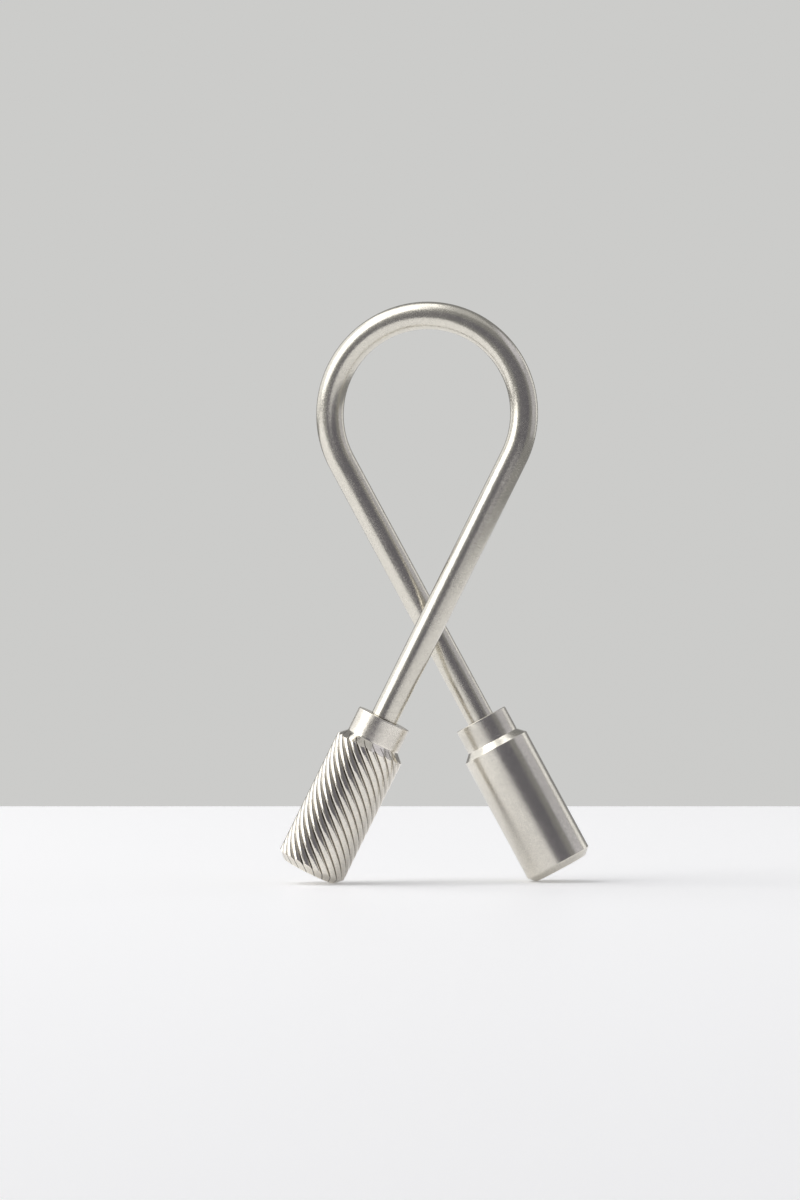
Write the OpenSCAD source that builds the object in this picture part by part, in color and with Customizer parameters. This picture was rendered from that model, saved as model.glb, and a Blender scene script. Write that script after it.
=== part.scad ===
// Crossed-loop key ring: a bent round rod whose two straight legs cross,
// closed by a fluted screw cap on one leg and a fixed plain cap on the other.
// Frame: +Z up, +X right, -Y front. The origin is under the middle of the ring,
// at the level of the two foot edges that it stands on.

/* [Rod] */
// Diameter of the bent rod
rod_d = 3.2; // [2.8:0.1:3.6]
// Radius of the bow, to the middle of the rod
bow_r = 11.4; // [10:0.1:14]
// Angle between each leg and the middle line of the ring
leg_angle = 27.4; // [22:0.1:32]
// Distance between the two legs' centre lines where they cross
cross_gap = 6; // [5:0.1:8]
// Length of the front leg from the crossing down to its cap
front_leg = 11.5; // [10:0.1:16]
// Tilt of the ring to the left as it stands; the back leg is longer to suit
ring_tilt = 1; // [0:0.1:2]

/* [Caps] */
// Length of each cap, neck and barrel together
cap_len = 19.6; // [16:0.1:24]
// Diameter of the neck
neck_d = 6.35; // [5.6:0.05:6.8]
// Length of the neck
neck_len = 2.9; // [2.4:0.1:4]
// Diameter of the plain barrel
barrel_d = 8; // [7.4:0.1:9]
// Width and height of the bevel round the foot of the plain barrel
foot_bevel = 0.75; // [0.4:0.05:1.2]
// Edge break round the top of the neck
neck_break = 0.12; // [0.05:0.01:0.2]

/* [Flutes] */
// Diameter over the crests of the ribs
crest_d = 8.2; // [7.8:0.1:9]
// Number of flutes round the barrel
flute_count = 20; // [16:1:24]
// Depth of each flute
flute_depth = 0.28; // [0.15:0.01:0.4]
// Angle between a flute and the axis of the cap
flute_angle = 49; // [20:1:55]

/* [Screw joint] */
// Diameter of the spigot that is turned down on the front leg and runs inside the neck
spigot_d = 2.7; // [2.6:0.05:2.8]
// Length of the spigot
spigot_len = 3; // [2.8:0.1:4]
// Outer diameter of the screw thread
thread_d = 2.5; // [2.2:0.1:2.5]
// Length of the screw thread
thread_len = 6; // [4:0.1:8]
// Length of the undercut above the thread
relief_len = 0.6; // [0.4:0.1:1]
// Radial clearance between the rod's end and the screw cap
clearance = 0.05; // [0.03:0.01:0.08]
// Gap between the rod's shoulder and the neck of the closed screw cap
seat_gap = 0.02; // [0.01:0.01:0.05]

/* [Grip ring] */
// Thickness of the rubber ring
ring_thick = 0.8; // [0.6:0.05:0.9]
// Depth of the middle of the ring below the top of the neck
ring_depth = 1.6; // [1.3:0.1:1.9]
// Gap left round the ring where it touches its neighbours
ring_gap = 0.02; // [0.01:0.01:0.04]

/* [Fixed joint] */
// Length of rod pressed into the plain cap
press_len = 10; // [6:0.1:14]

/* [Hidden] */
$fn = 96;
rod_r = rod_d / 2;
neck_r = neck_d / 2;
barrel_r = barrel_d / 2;
crest_r = crest_d / 2;
spigot_r = spigot_d / 2;
thread_r = thread_d / 2;
foot_r = barrel_r - foot_bevel;

// Both caps rest on the inner edge of their foot face, which puts the crossing at this height
// and makes the back leg this long.
front_angle = leg_angle - ring_tilt;
back_angle = leg_angle + ring_tilt;
cross_z = (front_leg + cap_len) * cos(front_angle) + foot_r * sin(front_angle);
back_leg = (cross_z - foot_r * sin(back_angle)) / cos(back_angle) - cap_len;

// The crossing stands beside the origin so that the whole ring is centred on it.
left_reach = (front_leg + cap_len - crest_r + foot_r) * sin(front_angle) + crest_r * cos(front_angle);
right_reach = (back_leg + cap_len - foot_bevel) * sin(back_angle) + barrel_r * cos(back_angle);
crossing = [(left_reach - right_reach) / 2, (crest_r - barrel_r) / 2, cross_z];

// The bow is an arc from one leg's tangent point over the top to the other's.
bow_sweep = 90 + leg_angle;
bow_height = bow_r / sin(leg_angle);
leg_above = bow_r / tan(leg_angle);

// Rings and sides of the swept bow. Its corners lie just inside the legs, for a clean join.
bow_rings = 44;
bow_sides = 24;
bow_corner_r = rod_r - 0.01;
// Layers of the twisted flutes
flute_layers = 20;
// Turn of the flutes over the length of the cap, in degrees
flute_twist = cap_len * tan(flute_angle) / crest_r * 180 / PI;
// Places across one rib, as shares of its width, and how sharply it falls to the grooves
rib_steps = [0, 0.15, 0.38, 0.62, 0.85];
rib_power = 3;

// Bevelled tip and undercut of the thread
tip_bevel = 0.3;
relief_depth = 0.3;
thread_end = spigot_len + relief_len + thread_len;
// Spare depth left under the rod's end in each bore, and half the angle of the drill point
bore_spare = 0.5;
drill_point = 59;
groove_width = ring_thick + 4 * ring_gap;
groove_r = spigot_r + ring_thick + 2 * ring_gap;
ring_r = spigot_r + ring_gap + ring_thick / 2;
// How far a cutting shape runs past the face that it cuts
past = 1;
// How far one stretch of the rod runs into the next
lap = 0.05;

function unit(v) = v / norm(v);

// Point on the bow's centre line, measured from the crossing, for t from -1 on the left to 1 on
// the right. It moves from the back leg's plane to the front leg's and ends parallel to both.
function bow_point(t) = [
    bow_r * sin(t * bow_sweep),
    -cross_gap / 2 * sin(90 * t),
    bow_height + bow_r * cos(t * bow_sweep)
];

// Direction of the bow's centre line at t
function bow_heading(t) = unit([
    bow_r * bow_sweep * cos(t * bow_sweep),
    -cross_gap / 2 * 90 * cos(90 * t),
    -bow_r * bow_sweep * sin(t * bow_sweep)
]);

// One ring of points round the bow's centre line
function bow_ring(t) = let (
    outward = [sin(t * bow_sweep), 0, cos(t * bow_sweep)],
    across = cross(bow_heading(t), outward)
) [
    for (side = [0 : bow_sides - 1])
        let (turn = 360 * side / bow_sides)
            bow_point(t) + bow_corner_r * (cos(turn) * outward + sin(turn) * across)
];

// Outline of the fluted barrel: rounded ribs with a sharp groove between them
function rib_radius(share) = crest_r - flute_depth * pow(abs(2 * share - 1), rib_power);
flute_outline = [
    for (rib = [0 : flute_count - 1], share = rib_steps)
        let (turn = 360 * (rib + share) / flute_count)
            rib_radius(share) * [cos(turn), sin(turn)]
];

// side is 1 for the front leg, which runs down to the left, and -1 for the back leg.
function leg_below(side) = side > 0 ? front_leg : back_leg;

// Places a shape drawn round the ring's upright middle line, with the crossing at its origin
module tilted() {
    translate(crossing)
        rotate([0, -ring_tilt, 0])
            children();
}

// Places a shape that hangs down -Z from the crossing onto a leg
module on_leg(side) {
    tilted()
        translate([0, -side * cross_gap / 2, 0])
            rotate([0, side * leg_angle, 0])
                children();
}

// Places a shape that hangs down -Z from the top of a neck onto that leg's cap
module at_cap(side) {
    on_leg(side)
        translate([0, 0, -leg_below(side)])
            children();
}

module bow() {
    last = bow_rings * bow_sides;
    points = [for (ring = [0 : bow_rings]) each bow_ring(2 * ring / bow_rings - 1)];
    walls = [
        for (ring = [0 : bow_rings - 1], side = [0 : bow_sides - 1])
            let (
                a = ring * bow_sides + side,
                b = ring * bow_sides + (side + 1) % bow_sides
            )
            each [
                [a, b + bow_sides, b],
                [a, a + bow_sides, b + bow_sides]
            ]
    ];
    start = [for (side = [0 : bow_sides - 1]) side];
    end = [for (side = [bow_sides - 1 : -1 : 0]) last + side];
    polyhedron(points, concat([start], walls, [end]));
}

// Straight leg from the bow's tangent point down to its cap, and on by a depth inside it
module leg(side, inside) {
    on_leg(side)
        translate([0, 0, -leg_below(side) - inside])
            cylinder(h = leg_above + lap + leg_below(side) + inside, r = rod_r);
}

// Rod end inside the screw cap: spigot, undercut, then the thread with a bevelled tip.
// The thread is a plain cylinder of its outer diameter.
module threaded_end() {
    at_cap(1) {
        translate([0, 0, -spigot_len])
            cylinder(h = spigot_len + seat_gap + lap, r = spigot_r);
        translate([0, 0, -spigot_len - relief_len])
            cylinder(h = relief_len + lap, r = thread_r - relief_depth);
        translate([0, 0, -thread_end + tip_bevel])
            cylinder(h = thread_len - tip_bevel, r = thread_r);
        translate([0, 0, -thread_end])
            cylinder(h = tip_bevel, r1 = thread_r - tip_bevel, r2 = thread_r);
    }
}

module bent_rod() {
    color([0.66, 0.65, 0.62]) {
        tilted()
            bow();
        leg(1, -seat_gap);
        leg(-1, press_len);
        threaded_end();
    }
}

// Outer shape of a cap: neck, 45 degree shoulder, barrel and bevelled foot
module cap_body(radius) {
    rotate_extrude()
        polygon([
            [0, 0],
            [neck_r - neck_break, 0],
            [neck_r, -neck_break],
            [neck_r, -neck_len],
            [radius, -neck_len - (radius - neck_r)],
            [radius, -cap_len + radius - foot_r],
            [foot_r, -cap_len],
            [0, -cap_len]
        ]);
}

// Blind hole from the top of the neck, with a drill point at its foot
module blind_bore(radius, depth) {
    point = radius / tan(drill_point);
    translate([0, 0, -depth])
        cylinder(h = depth + past, r = radius);
    translate([0, 0, -depth - point])
        cylinder(h = point, r1 = 0, r2 = radius);
}

module ribs() {
    translate([0, 0, -cap_len])
        linear_extrude(height = cap_len, twist = flute_twist, slices = flute_layers)
            polygon(flute_outline);
}

module fluted_cap() {
    color([0.74, 0.73, 0.71])
        at_cap(1)
            difference() {
                intersection() {
                    cap_body(crest_r);
                    ribs();
                }
                blind_bore(thread_r + clearance, thread_end + bore_spare);
                translate([0, 0, -spigot_len])
                    cylinder(h = spigot_len + past, r = spigot_r + clearance);
                translate([0, 0, -ring_depth - groove_width / 2])
                    cylinder(h = groove_width, r = groove_r);
            }
}

module plain_cap() {
    color([0.63, 0.62, 0.60])
        at_cap(-1)
            difference() {
                cap_body(barrel_r);
                blind_bore(rod_r, press_len + bore_spare);
            }
}

module grip_ring() {
    color([0.08, 0.08, 0.08])
        at_cap(1)
            translate([0, 0, -ring_depth])
                rotate_extrude()
                    translate([ring_r, 0])
                        circle(r = ring_thick / 2);
}

bent_rod();
fluted_cap();
plain_cap();
grip_ring();
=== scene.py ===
"""Crossed-loop key ring: bent satin rod, fluted screw cap, fixed plain cap and rubber grip ring."""

import math

import bpy
import numpy as np
from mathutils import Matrix, Vector


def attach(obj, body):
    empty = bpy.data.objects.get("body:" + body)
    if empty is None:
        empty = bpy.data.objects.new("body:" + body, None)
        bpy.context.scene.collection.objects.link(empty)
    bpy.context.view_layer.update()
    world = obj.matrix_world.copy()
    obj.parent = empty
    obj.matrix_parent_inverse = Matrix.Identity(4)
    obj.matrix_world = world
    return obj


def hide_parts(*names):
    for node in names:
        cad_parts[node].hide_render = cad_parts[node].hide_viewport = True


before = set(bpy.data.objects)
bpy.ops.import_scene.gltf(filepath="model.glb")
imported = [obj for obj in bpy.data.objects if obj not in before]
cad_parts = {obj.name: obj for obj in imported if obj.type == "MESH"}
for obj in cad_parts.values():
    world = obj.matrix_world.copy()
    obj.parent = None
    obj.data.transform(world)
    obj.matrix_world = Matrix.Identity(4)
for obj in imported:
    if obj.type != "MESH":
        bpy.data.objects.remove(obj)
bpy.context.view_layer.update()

MM = 0.001

# ------------------------------------------------ driving sizes, in millimetres and degrees
ROD_R = 1.6
BOW_R = 11.4
LEG_ANGLE = 27.4
CROSS_GAP = 6.0
FRONT_LEG = 11.5
RING_TILT = 1.0

CAP_LEN = 19.6
NECK_R = 3.175
NECK_LEN = 2.9
NECK_BREAK = 0.12
BARREL_R = 4.0
FOOT_BEVEL = 0.75
FOOT_R = BARREL_R - FOOT_BEVEL

CREST_R = 4.1
FLUTES = 20
FLUTE_DEPTH = 0.28
FLUTE_ANGLE = 49.0
RIB_POWER = 3.0

SPIGOT_R = 1.35
SPIGOT_LEN = 3.0
RELIEF_LEN = 0.6
RELIEF_DEPTH = 0.3
THREAD_R = 1.25
THREAD_LEN = 6.0
THREAD_PITCH = 0.45
THREAD_DEPTH = 0.27
TIP_BEVEL = 0.3
CLEARANCE = 0.05
SEAT_GAP = 0.02

RING_THICK = 0.8
RING_GAP = 0.02
GROOVE_R = SPIGOT_R + RING_THICK + 2 * RING_GAP
GROOVE_WIDTH = RING_THICK + 4 * RING_GAP
GROOVE_MIDDLE = 1.6

PRESS_LEN = 10.0
BORE_SPARE = 0.5
DRILL_POINT = 59.0

# Rounding of a cap's outer edges, of its and the spigot's small corners, and of their lips
EDGE_SOFT = 0.06
CORNER_SOFT = 0.03
LIP_SOFT = 0.05
# Edge break of the rod's pressed end, and how much of it is left halfway round
END_BREAK = 0.2
END_MIDWAY = 0.06

# ------------------------------------------------ fineness of the meshes
ROD_COLUMNS = 64
LEG_RINGS = 40
BOW_RINGS = 118
ROD_POLE_R = 0.5
PLAIN_COLUMNS = 128
# Places across one rib, as shares of its width
RIB_SHARES = np.array([0, 0.03, 0.08, 0.15, 0.25, 0.37, 0.5, 0.63, 0.75, 0.85, 0.92, 0.97])
CAP_POLE_R = 0.15
# A cap's profile is divided into about this length wherever a stretch is longer than the second one
PROFILE_STEP = 0.26
PROFILE_LONG = 0.3
ROD_THREAD_STEPS = 12
CAP_THREAD_STEPS = 9
# Shares of half a pitch that the thread's crest and its flank take
CREST_SHARE = 0.14
FLANK_SHARE = 0.66


def sin(degrees):
    return math.sin(math.radians(degrees))


def cos(degrees):
    return math.cos(math.radians(degrees))


def tan(degrees):
    return math.tan(math.radians(degrees))


FRONT_ANGLE = LEG_ANGLE - RING_TILT
BACK_ANGLE = LEG_ANGLE + RING_TILT
CROSS_Z = (FRONT_LEG + CAP_LEN) * cos(FRONT_ANGLE) + FOOT_R * sin(FRONT_ANGLE)
BACK_LEG = (CROSS_Z - FOOT_R * sin(BACK_ANGLE)) / cos(BACK_ANGLE) - CAP_LEN
LEFT_REACH = (FRONT_LEG + CAP_LEN - CREST_R + FOOT_R) * sin(FRONT_ANGLE) + CREST_R * cos(FRONT_ANGLE)
RIGHT_REACH = (BACK_LEG + CAP_LEN - FOOT_BEVEL) * sin(BACK_ANGLE) + BARREL_R * cos(BACK_ANGLE)
CROSSING = Vector(((LEFT_REACH - RIGHT_REACH) / 2, (CREST_R - BARREL_R) / 2, CROSS_Z))
BOW_SWEEP = 90 + LEG_ANGLE
BOW_HEIGHT = BOW_R / sin(LEG_ANGLE)
LEG_ABOVE = BOW_R / tan(LEG_ANGLE)
FLUTE_TWIST = tan(FLUTE_ANGLE) / CREST_R
THREAD_TOP = SPIGOT_LEN + RELIEF_LEN
THREAD_END = THREAD_TOP + THREAD_LEN

TILTED = Matrix.Translation(CROSSING) @ Matrix.Rotation(math.radians(-RING_TILT), 4, "Y")


def cap_place(side):
    """Matrix, in millimetres, of the cap on the front leg (side 1) or the back leg (side -1)."""
    below = FRONT_LEG if side > 0 else BACK_LEG
    return (
        TILTED
        @ Matrix.Translation((0, -side * CROSS_GAP / 2, 0))
        @ Matrix.Rotation(math.radians(side * LEG_ANGLE), 4, "Y")
        @ Matrix.Translation((0, 0, -below))
    )


# ------------------------------------------------ camera
CAMERA_AZIMUTH = 3.77
CAMERA_DISTANCE = 620.0
CAMERA_ACROSS = -3.49
CAMERA_HEIGHT = 35.0
CAMERA_PITCH = -0.22
LENS = 161.06
SENSOR_WIDTH = 36
CLIP_NEAR_M = 0.01
CLIP_FAR_M = 20


def flat(away, across=0.0):
    """Horizontal vector: away points from the camera through the ring, across to the right of that."""
    s, c = sin(CAMERA_AZIMUTH), cos(CAMERA_AZIMUTH)
    return Vector((across * c - away * s, across * s + away * c, 0))


camera_data = bpy.data.cameras.new("camera")
camera_data.lens = LENS
camera_data.sensor_width = SENSOR_WIDTH
camera_data.clip_start = CLIP_NEAR_M
camera_data.clip_end = CLIP_FAR_M
camera = bpy.data.objects.new("camera", camera_data)
bpy.context.collection.objects.link(camera)
bpy.context.scene.camera = camera
spot = Vector((CROSSING.x, CROSSING.y, 0)) + flat(-CAMERA_DISTANCE, CAMERA_ACROSS)
spot.z = CAMERA_HEIGHT
camera.location = spot * MM
camera.rotation_euler = (math.radians(90 + CAMERA_PITCH), 0, math.radians(CAMERA_AZIMUTH))


# ------------------------------------------------ material tools
class Finish:
    """Node material with its Principled shader and short ways to add linked nodes."""

    def __init__(self, name):
        self.material = bpy.data.materials.new(name)
        self.material.use_nodes = True
        self.tree = self.material.node_tree
        self.shader = next(n for n in self.tree.nodes if n.type == "BSDF_PRINCIPLED")
        self.shader.distribution = "GGX"

    def add(self, kind, settings=None, **inputs):
        """New node. An input is named by its socket, or by i and the socket's number."""
        node = self.tree.nodes.new("ShaderNode" + kind)
        for key, value in (settings or {}).items():
            setattr(node, key, value)
        for key, value in inputs.items():
            numbered = key[0] == "i" and key[1:].isdigit()
            socket = node.inputs[int(key[1:]) if numbered else key]
            if isinstance(value, bpy.types.NodeSocket):
                self.tree.links.new(value, socket)
            else:
                socket.default_value = value
        return node

    def place(self):
        return self.add("TexCoord").outputs["Object"]

    def noise(self, place, size, detail, roughness=0.5):
        """Noise with features of a size in millimetres."""
        scale = 1 / (size * MM)
        return self.add("TexNoise", Vector=place, Scale=scale, Detail=detail, Roughness=roughness).outputs[0]

    def remap(self, value, low, high, to_low, to_high):
        return self.add("MapRange", i0=value, i1=low, i2=high, i3=to_low, i4=to_high).outputs[0]

    def calc(self, operation, a, b):
        return self.add("Math", {"operation": operation}, i0=a, i1=b).outputs[0]

    def scaled(self, colour, factor):
        return self.add("VectorMath", {"operation": "SCALE"}, i0=colour, i3=factor).outputs[0]

    def fact(self, name):
        return self.add("Attribute", {"attribute_name": name}).outputs["Fac"]

    def bump(self, height):
        return self.add("Bump", Height=height, Strength=1.0, Distance=1.0).outputs[0]

    def feed(self, socket, value):
        """Links a node's output to the shader, or sets a value that is the same all over."""
        if isinstance(value, bpy.types.NodeSocket):
            self.tree.links.new(value, self.shader.inputs[socket])
        else:
            self.shader.inputs[socket].default_value = value


# ------------------------------------------------ table, backdrop, lights
def stage_material(name, base, glow, glow_strength, roughness=1.0, specular=0.0):
    finish = Finish(name)
    finish.feed("Base Color", (*base, 1))
    finish.feed("Roughness", roughness)
    finish.feed("Specular IOR Level", specular)
    finish.feed("Emission Color", (*glow, 1))
    finish.feed("Emission Strength", glow_strength)
    return finish.material


def stage_quad(name, material, *corners):
    """Flat stage piece from its corners, in millimetres."""
    mesh = bpy.data.meshes.new(name)
    mesh.from_pydata([tuple(c * MM) for c in corners], [], [tuple(range(len(corners)))])
    obj = bpy.data.objects.new(name, mesh)
    bpy.context.collection.objects.link(obj)
    mesh.materials.append(material)
    return obj


def upright(name, material, azimuth, distance, middle, width, height):
    """Upright stage rectangle that faces the ring. Azimuth 0 is behind the ring, 90 its right."""
    centre = Vector((sin(azimuth), cos(azimuth), 0)) * distance + Vector((0, 0, middle))
    along = Vector((cos(azimuth), -sin(azimuth), 0)) * width / 2
    up = Vector((0, 0, height / 2))
    corners = centre - along - up, centre + along - up, centre + along + up, centre - along + up
    return stage_quad(name, material, *corners)


LIGHTS_AIM_Z = 30


def softbox(name, azimuth, elevation, distance, width, height, radiance, colour=(1, 1, 1)):
    """Area light that faces the ring. Azimuth 0 is behind the ring, 90 its right, 180 the camera's side."""
    data = bpy.data.lights.new(name, "AREA")
    data.shape = "RECTANGLE"
    data.size = width * MM
    data.size_y = height * MM
    data.energy = radiance * math.pi * data.size * data.size_y
    data.color = colour
    light = bpy.data.objects.new(name, data)
    bpy.context.collection.objects.link(light)
    reach = Vector((sin(azimuth) * cos(elevation), cos(azimuth) * cos(elevation), sin(elevation)))
    light.location = (Vector((0, 0, LIGHTS_AIM_Z)) + reach * distance) * MM
    light.rotation_mode = "QUATERNION"
    light.rotation_quaternion = (-reach).to_track_quat("-Z", "Y")
    light.visible_camera = False


# Corners of the table, across and away from the camera, in millimetres
TABLE_LEFT, TABLE_RIGHT = -1200.0, 900.0
TABLE_NEAR, TABLE_BACK = -900.0, 208.0
TABLE_WHOLE = (
    (TABLE_LEFT, TABLE_NEAR), (TABLE_RIGHT, TABLE_NEAR), (TABLE_RIGHT, TABLE_BACK), (TABLE_LEFT, TABLE_BACK),
)
LIT_NEAR = -430.0
TABLE_LIT = (
    (-38.0, LIT_NEAR), (34.0, LIT_NEAR), (104.0, TABLE_BACK), (TABLE_LEFT, TABLE_BACK),
    (TABLE_LEFT, -330.0), (-70.0, -150.0),
)
TABLE_DROP = 0.02

# The steel reflects only the lit part of the table. The whole table lies just below it and is left
# out of the reflections.
table_white = stage_material(
    "table_white", (0.96, 0.96, 0.97), (1, 1, 1), 0.16, roughness=0.45, specular=0.12
)
stage_quad("table_lit", table_white, *(flat(away, across) for across, away in TABLE_LIT))
below = Vector((0, 0, -TABLE_DROP))
table = stage_quad("table", table_white, *(flat(away, across) + below for across, away in TABLE_WHOLE))
table.visible_glossy = False

# The backdrop is only as wide as the camera needs. The dark beside it makes the steel's thin dark rims.
backdrop_grey = stage_material("backdrop_grey", (0.05, 0.05, 0.05), (0.61, 0.61, 0.597), 0.95)
upright(
    "backdrop", backdrop_grey,
    azimuth=-CAMERA_AZIMUTH, distance=1500, middle=40, width=720, height=860,
)

# A dark card behind the camera makes the dark band down the front of the steel.
card_dark = stage_material("card_dark", (0.03, 0.03, 0.03), (0.96, 0.94, 1.1), 0.15)
card = upright(
    "card_front", card_dark,
    azimuth=170, distance=760, middle=230, width=1200, height=960,
)
card.visible_camera = False

world = bpy.data.worlds.new("studio")
bpy.context.scene.world = world
world.use_nodes = True
world.node_tree.nodes["Background"].inputs["Color"].default_value = (1, 1, 1, 1)
world.node_tree.nodes["Background"].inputs["Strength"].default_value = 0.27

WARM = (1.0, 0.995, 0.985)
COOL = (0.96, 0.95, 1.09)
# Name, azimuth, elevation, distance, width, height, radiance and colour
softbox("key", 251, 35, 1000, 740, 1120, 2.15, WARM)
softbox("overhead_left", 285, 66, 1000, 750, 650, 1.4)
softbox("overhead", 60, 86, 1200, 900, 900, 0.3)
softbox("left_behind", 297, 25, 1200, 1050, 1100, 0.85)
softbox("right_behind", 48, 14, 1200, 420, 900, 0.8)
softbox("right", 85, 12, 1200, 900, 900, 0.34, COOL)
softbox("right_high", 85, 48, 1200, 1100, 500, 0.5, COOL)

bpy.context.scene.view_settings.view_transform = "Standard"


# ------------------------------------------------ meshes
def solid(name, rows, start, end, place, facts):
    """Closed mesh from rings of points, in millimetres, with a pole at each end.

    rows is (rings, columns, 3), start and end are the poles, place is the local frame's matrix, and
    facts maps an attribute's name to its (rings, columns) values.
    """
    count, columns = rows.shape[:2]
    points = np.vstack([np.reshape(start, (1, 3)), rows.reshape(-1, 3), np.reshape(end, (1, 3))])
    here = np.arange(columns)
    after = (here + 1) % columns
    ring = 1 + columns * np.arange(count - 1)[:, None]
    quads = np.stack([ring + here, ring + after, ring + columns + after, ring + columns + here], -1)
    quads = quads.reshape(-1, 4)
    last = 1 + columns * (count - 1)
    first_fan = np.stack([np.zeros_like(here), 1 + after, 1 + here], -1)
    last_fan = np.stack([np.full_like(here, len(points) - 1), last + here, last + after], -1)
    triangles = np.vstack([quads[:, [0, 1, 2]], quads[:, [0, 2, 3]], first_fan, last_fan])
    corner = points[triangles]
    volume = np.einsum("ij,ij->i", corner[:, 0], np.cross(corner[:, 1], corner[:, 2])).sum()
    if volume < 0:
        quads, first_fan, last_fan = quads[:, ::-1], first_fan[:, ::-1], last_fan[:, ::-1]
        triangles = triangles[:, ::-1]
    mesh = bpy.data.meshes.new(name)
    mesh.from_pydata((points * MM).tolist(), [], quads.tolist() + first_fan.tolist() + last_fan.tolist())

    corner = points[triangles]
    face_normals = np.cross(corner[:, 1] - corner[:, 0], corner[:, 2] - corner[:, 0])
    normals = np.zeros_like(points)
    for k in range(3):
        np.add.at(normals, triangles[:, k], face_normals)
    normals /= np.maximum(np.linalg.norm(normals, axis=1, keepdims=True), 1e-12)
    for key, values in facts.items():
        layer = mesh.attributes.new(key, "FLOAT", "POINT")
        values = np.broadcast_to(values, (count, columns))
        full = np.concatenate([[values[0].mean()], values.reshape(-1), [values[-1].mean()]])
        layer.data.foreach_set("value", full.astype(np.float32))
    mesh.polygons.foreach_set("use_smooth", [True] * len(mesh.polygons))
    mesh.normals_split_custom_set_from_vertices(normals.tolist())
    mesh.validate()

    obj = bpy.data.objects.new(name, mesh)
    bpy.context.collection.objects.link(obj)
    local = place.copy()
    local.translation = place.translation * MM
    obj.matrix_world = local
    return obj


def softened(corners, segments=4):
    """Profile with its corners rounded, and each point's edge weight.

    corners are (radius, height, softness).
    """
    points, edges = [], []
    for i, (r, z, soft) in enumerate(corners):
        here = np.array([r, z], float)
        if soft <= 0 or i in (0, len(corners) - 1):
            points.append(here)
            edges.append(0.0)
            continue
        before = np.array(corners[i - 1][:2], float) - here
        behind = np.array(corners[i + 1][:2], float) - here
        before /= np.linalg.norm(before)
        behind /= np.linalg.norm(behind)
        half = math.acos(np.clip(before @ behind, -1, 1)) / 2
        reach = soft / math.tan(half)
        middle = here + (before + behind) / np.linalg.norm(before + behind) * soft / math.sin(half)
        a, b = here + before * reach - middle, here + behind * reach - middle
        turn = math.atan2(a[0] * b[1] - a[1] * b[0], a @ b)
        for k in range(segments + 1):
            t = turn * k / segments
            c, s = math.cos(t), math.sin(t)
            points.append(middle + [a[0] * c - a[1] * s, a[0] * s + a[1] * c])
            edges.append(1.0)
    return np.array(points), np.array(edges)


# How fast the painted edge highlight fades between a profile's points
HIGHLIGHT_FADE = 6


def spread(points, edges, counts):
    """Adds evenly spaced points in a profile's long stretches.

    counts maps a stretch's number to its parts.
    """
    out, highlight_weight = [points[0]], [edges[0]]
    for i in range(1, len(points)):
        parts = counts.get(i - 1, 1)
        for k in range(1, parts + 1):
            t = k / parts
            out.append(points[i - 1] * (1 - t) + points[i] * t)
            highlight_weight.append(edges[i - 1] * (1 - t) ** HIGHLIGHT_FADE + edges[i] * t ** HIGHLIGHT_FADE)
    return np.array(out), np.array(highlight_weight)


def thread_radius(height, turn):
    """Radius of the rod's right-hand thread at a height and an angle in radians."""
    phase = (height / THREAD_PITCH - turn / (2 * math.pi)) % 1.0
    flank = np.clip((np.abs(phase - 0.5) * 2 - CREST_SHARE) / FLANK_SHARE, 0, 1)
    return THREAD_R - THREAD_DEPTH * flank


def leg_frame(side):
    """A leg's start, downward direction and outward direction, measured from the crossing."""
    start = np.array([0, -side * CROSS_GAP / 2, 0])
    down = np.array([-side * sin(LEG_ANGLE), 0, -cos(LEG_ANGLE)])
    out = np.array([side * cos(LEG_ANGLE), 0, -sin(LEG_ANGLE)])
    return start, down, out


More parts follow.
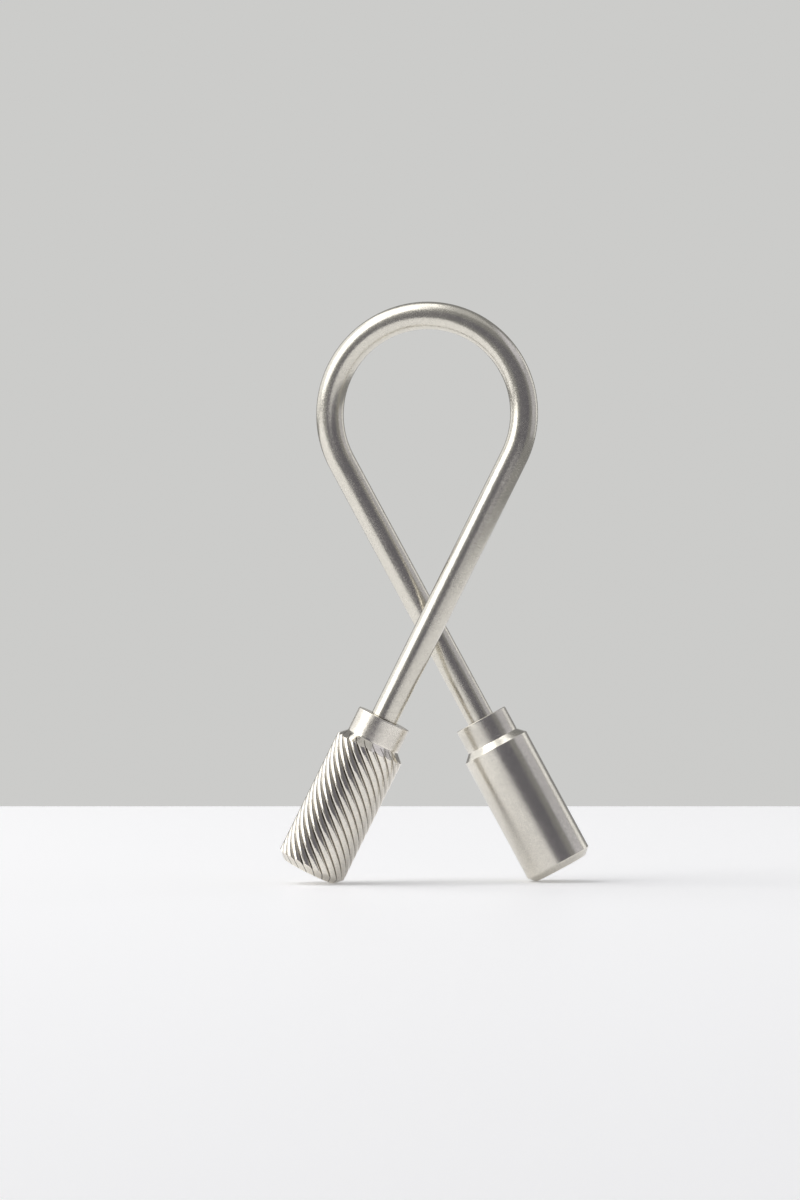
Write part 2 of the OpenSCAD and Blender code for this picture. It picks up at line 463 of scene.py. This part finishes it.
def make_rod():
    """Rod from its pressed end up the back leg, round the bow and down the front leg to the thread's tip."""
    turn = 2 * math.pi * np.arange(ROD_COLUMNS) / ROD_COLUMNS
    centres, outs, acrosses, radii = [], [], [], []

    def ring_at(centre, out, across, radius):
        centres.append(centre)
        outs.append(out)
        acrosses.append(across)
        radii.append(np.broadcast_to(radius, (ROD_COLUMNS,)))

    y_axis = np.array([0.0, 1.0, 0.0])
    start, down, out = leg_frame(-1)
    end = BACK_LEG + PRESS_LEN
    pressed_end = (
        (0, ROD_POLE_R), (0, ROD_R - END_BREAK), (END_MIDWAY, ROD_R - END_MIDWAY), (END_BREAK, ROD_R),
    )
    for depth, radius in pressed_end:
        ring_at(start + down * (end - depth), out, y_axis, radius)
    for s in np.linspace(end - 1, -LEG_ABOVE, LEG_RINGS)[:-1]:
        ring_at(start + down * s, out, y_axis, ROD_R)

    for t in np.linspace(-1, 1, BOW_RINGS):
        a = t * BOW_SWEEP
        heading = np.array([
            BOW_R * math.radians(BOW_SWEEP) * cos(a),
            -CROSS_GAP / 2 * math.pi / 2 * cos(90 * t),
            -BOW_R * math.radians(BOW_SWEEP) * sin(a),
        ])
        heading /= np.linalg.norm(heading)
        out = np.array([sin(a), 0, cos(a)])
        centre = np.array([BOW_R * sin(a), -CROSS_GAP / 2 * sin(90 * t), BOW_HEIGHT + BOW_R * cos(a)])
        ring_at(centre, out, -np.cross(heading, out), ROD_R)

    start, down, out = leg_frame(1)
    shoulder = FRONT_LEG - SEAT_GAP
    above = 0.5
    for s in np.linspace(-LEG_ABOVE, shoulder - above, LEG_RINGS)[1:]:
        ring_at(start + down * s, out, y_axis, ROD_R)
    relief_r = THREAD_R - RELIEF_DEPTH
    ends, _ = softened([
        (ROD_R, -above, 0), (ROD_R, 0, LIP_SOFT), (SPIGOT_R, 0, CORNER_SOFT), (SPIGOT_R, SPIGOT_LEN, LIP_SOFT),
        (relief_r, SPIGOT_LEN, LIP_SOFT), (relief_r, THREAD_TOP - LIP_SOFT, 0),
    ])
    for radius, depth in ends[1:]:
        ring_at(start + down * (shoulder + depth), out, y_axis, radius)
    steps = int(THREAD_LEN / THREAD_PITCH * ROD_THREAD_STEPS)
    for k in range(steps + 1):
        depth = THREAD_TOP + THREAD_LEN * k / steps
        taper = min(depth - THREAD_TOP, THREAD_END - depth) + THREAD_R - TIP_BEVEL
        radius = np.minimum(thread_radius(-depth, turn), taper)
        ring_at(start + down * (FRONT_LEG + depth), out, y_axis, radius)
    ring_at(start + down * (FRONT_LEG + THREAD_END), out, y_axis, ROD_POLE_R)

    centres, outs, acrosses, radii = (np.array(x) for x in (centres, outs, acrosses, radii))
    rows = (
        centres[:, None]
        + radii[..., None] * np.cos(turn)[None, :, None] * outs[:, None]
        + radii[..., None] * np.sin(turn)[None, :, None] * acrosses[:, None]
    )
    return solid("bent_rod_visual", rows, centres[0], centres[-1], TILTED, {})


def cap_profile(radius, threaded):
    """Outline of a cap from the foot's centre over the outside into the bore, softened.

    It has the same number of points for every radius.
    """
    corners = [
        (CAP_POLE_R, -CAP_LEN, 0),
        (FOOT_R, -CAP_LEN, EDGE_SOFT),
        (radius, -CAP_LEN + radius - FOOT_R, EDGE_SOFT),
        (radius, -NECK_LEN - radius + NECK_R, EDGE_SOFT),
        (NECK_R, -NECK_LEN, CORNER_SOFT),
        (NECK_R, 0, NECK_BREAK),
    ]
    if threaded:
        bore, depth = THREAD_R + CLEARANCE, THREAD_END + BORE_SPARE
        wide = SPIGOT_R + CLEARANCE
        top, foot = -GROOVE_MIDDLE + GROOVE_WIDTH / 2, -GROOVE_MIDDLE - GROOVE_WIDTH / 2
        corners += [
            (wide, 0, LIP_SOFT),
            (wide, top, CORNER_SOFT),
            (GROOVE_R, top, CORNER_SOFT),
            (GROOVE_R, foot, CORNER_SOFT),
            (wide, foot, CORNER_SOFT),
            (wide, -SPIGOT_LEN, CORNER_SOFT),
            (bore, -SPIGOT_LEN, CORNER_SOFT),
        ]
    else:
        bore, depth = ROD_R, PRESS_LEN + BORE_SPARE
        lead_in = 0.1
        corners += [(bore + lead_in, 0, CORNER_SOFT), (bore, -lead_in, 0)]
    corners += [
        (bore, -depth, 0),
        (CAP_POLE_R, -depth - (bore - CAP_POLE_R) / tan(DRILL_POINT), 0),
    ]
    return softened(corners)


def make_cap(name, side, flutes):
    """Cap on the front leg (side 1) or the back leg (side -1). The fluted one is threaded inside."""
    threaded = flutes > 0
    if threaded:
        share = np.tile(RIB_SHARES, flutes)
        turn = 2 * math.pi * (np.repeat(np.arange(flutes), len(RIB_SHARES)) + share) / flutes
        groove = np.abs(2 * share - 1) ** RIB_POWER
        radius = CREST_R - FLUTE_DEPTH * groove
    else:
        turn = 2 * math.pi * np.arange(PLAIN_COLUMNS) / PLAIN_COLUMNS
        groove = np.zeros_like(turn)
        radius = np.full_like(turn, BARREL_R)

    # Every column's profile is divided like the first one's, so that their points match.
    points, _ = cap_profile(radius[0], threaded)
    lengths = np.linalg.norm(np.diff(points, axis=0), axis=1)
    bore_stretch = len(points) - 3
    counts = {i: max(1, int(round(n / PROFILE_STEP))) for i, n in enumerate(lengths) if n > PROFILE_LONG}
    if threaded:
        counts[bore_stretch] = int(lengths[bore_stretch] / THREAD_PITCH * CAP_THREAD_STEPS)
    profiles = [spread(*cap_profile(r, threaded), counts) for r in radius]
    outline = np.array([p for p, _ in profiles]).transpose(1, 0, 2)
    edges = np.array([e for _, e in profiles]).T

    r, z = outline[..., 0], outline[..., 1]
    outside = np.arange(len(r)) < np.argmax(z[:, 0] > -NECK_LEN + 0.1)
    twist = np.where(outside[:, None], np.minimum(z, -NECK_LEN), -NECK_LEN) + CAP_LEN
    around = turn[None] - FLUTE_TWIST * twist * threaded
    grooved = np.zeros_like(r)
    if threaded:
        inside = np.arange(len(r)) >= len(r) - counts[bore_stretch] - 2
        cut = inside[:, None] & (z < -THREAD_TOP + 0.3) & (z > -THREAD_END - 0.2)
        r = np.where(cut, thread_radius(z, around) + CLEARANCE, r)
        on_barrel = outside[:, None] & (z < -NECK_LEN - 0.2)
        grooved = np.where(on_barrel, groove[None], 0)
    rows = np.stack([r * np.cos(around), r * np.sin(around), z], -1)
    run = np.concatenate([[0], np.cumsum(np.linalg.norm(np.diff(outline[:, 0], axis=0), axis=1))])
    neck = np.clip((z + NECK_LEN) / 0.1, 0, 1)
    facts = {"turned": run[:, None], "edge": edges, "groove": grooved, "neck": neck}
    return solid(name, rows, (0, 0, z[0, 0]), (0, 0, z[-1, 0]), cap_place(side), facts)


# ------------------------------------------------ finishes
# Feature sizes of the steel's noises, in millimetres, and the turned lines in a millimetre
BROAD = 2.4
BLOTCH = 0.55
SPECK = 0.11
TURNED_LINES = 9.0
# Brown that paints shade, tinted like grime, into the bottoms of the flutes' grooves
GROOVE_SHADE_AND_GRIME = (0.05, 0.038, 0.026, 1)
# How much lighter the painted highlight makes a cap's rounded edges
EDGE_HIGHLIGHT_GAIN = 1.12
RUBBER_GRAIN = 0.12
RUBBER_GRAIN_DEPTH = 0.01


def paint(obj, material):
    obj.data.materials.clear()
    obj.data.materials.append(material)


def steel(
    name, tint, roughness, grain, grain_depth, line_depth=0.0, anisotropy=0.0, groove_shade_and_grime=0.0, satin=0.0
):
    """Stainless steel with grain and specks. grain, grain_depth and line_depth are in millimetres.

    line_depth adds turned lines along a cap's profile and a painted highlight on its rounded edges,
    the groove factor paints shade, tinted brown like grime, into the grooves between the ribs, and satin is
    the neck's extra roughness.
    """
    finish = Finish(name)
    place = finish.place()
    fine = finish.noise(place, grain, 2.0, 0.6)
    broad = finish.noise(place, BROAD, 3.0, 0.55)
    blotch = finish.noise(place, BLOTCH, 2.0, 0.5)
    speck = finish.noise(place, SPECK, 1.5, 0.7)
    rough = finish.remap(finish.calc("ADD", fine, broad), 0.7, 1.3, roughness - 0.05, roughness + 0.06)
    base = finish.scaled(tint, finish.remap(blotch, 0.3, 0.7, 0.96, 1.03))
    base = finish.scaled(base, finish.remap(speck, 0.3, 0.7, 0.86, 1.14))
    height = finish.calc("MULTIPLY", fine, grain_depth * MM)
    if line_depth:
        run = finish.add("CombineXYZ", X=finish.fact("turned")).outputs[0]
        lines = finish.add("TexNoise", Vector=run, Scale=TURNED_LINES, Detail=4.0, Roughness=0.7).outputs[0]
        height = finish.calc("ADD", height, finish.calc("MULTIPLY", lines, line_depth * MM))
        # Painted highlight: a lighter colour on the cap's rounded edges
        base = finish.scaled(base, finish.remap(finish.fact("edge"), 0.0, 1.0, 1.0, EDGE_HIGHLIGHT_GAIN))
    if satin:
        rough = finish.calc("ADD", rough, finish.calc("MULTIPLY", finish.fact("neck"), satin))
    if groove_shade_and_grime:
        # Painted shade, with a brown grime tint, in the bottoms of the grooves between the ribs
        depth = finish.remap(finish.fact("groove"), 0.5, 0.95, 0.0, groove_shade_and_grime)
        base = finish.add("Mix", {"data_type": "RGBA"}, i0=depth, i6=base, i7=GROOVE_SHADE_AND_GRIME).outputs[2]
    finish.feed("Base Color", base)
    finish.feed("Roughness", rough)
    finish.feed("Normal", finish.bump(height))
    finish.feed("Metallic", 1.0)
    if anisotropy:
        finish.feed("Anisotropic", anisotropy)
        finish.feed("Tangent", finish.add("Tangent", {"direction_type": "RADIAL", "axis": "Z"}).outputs[0])
    return finish.material


def rubber(name):
    """Matte black rubber with a fine moulded grain."""
    finish = Finish(name)
    grain = finish.noise(finish.place(), RUBBER_GRAIN, 3.0)
    shade = finish.remap(grain, 0.3, 0.7, 0.012, 0.022)
    finish.feed("Base Color", finish.add("CombineXYZ", X=shade, Y=shade, Z=shade).outputs[0])
    finish.feed("Roughness", finish.remap(grain, 0.3, 0.7, 0.45, 0.65))
    finish.feed("Normal", finish.bump(finish.calc("MULTIPLY", grain, RUBBER_GRAIN_DEPTH * MM)))
    return finish.material


rod = make_rod()
fluted = make_cap("fluted_cap_visual", 1, FLUTES)
plain = make_cap("plain_cap_visual", -1, 0)
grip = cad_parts["grip_ring"]

paint(rod, steel("rod_steel", (0.68, 0.65, 0.58), roughness=0.24, grain=0.17, grain_depth=0.008))
paint(fluted, steel(
    "fluted_steel", (0.725, 0.69, 0.625), roughness=0.09, grain=0.30, grain_depth=0.007,
    line_depth=0.004, anisotropy=0.3, groove_shade_and_grime=0.9, satin=0.2,
))
paint(plain, steel(
    "cap_steel", (0.67, 0.64, 0.575), roughness=0.2, grain=0.10, grain_depth=0.003,
    line_depth=0.004, anisotropy=0.4, satin=0.04,
))
paint(grip, rubber("rubber"))

for piece, body, node, finish in (
    (rod, "ring", "bent_rod", "rod_steel"),
    (plain, "ring", "plain_cap", "cap_steel"),
    (fluted, "cap", "fluted_cap", "fluted_steel"),
):
    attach(piece, body)
    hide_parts(node)

bpy.context.view_layer.update()
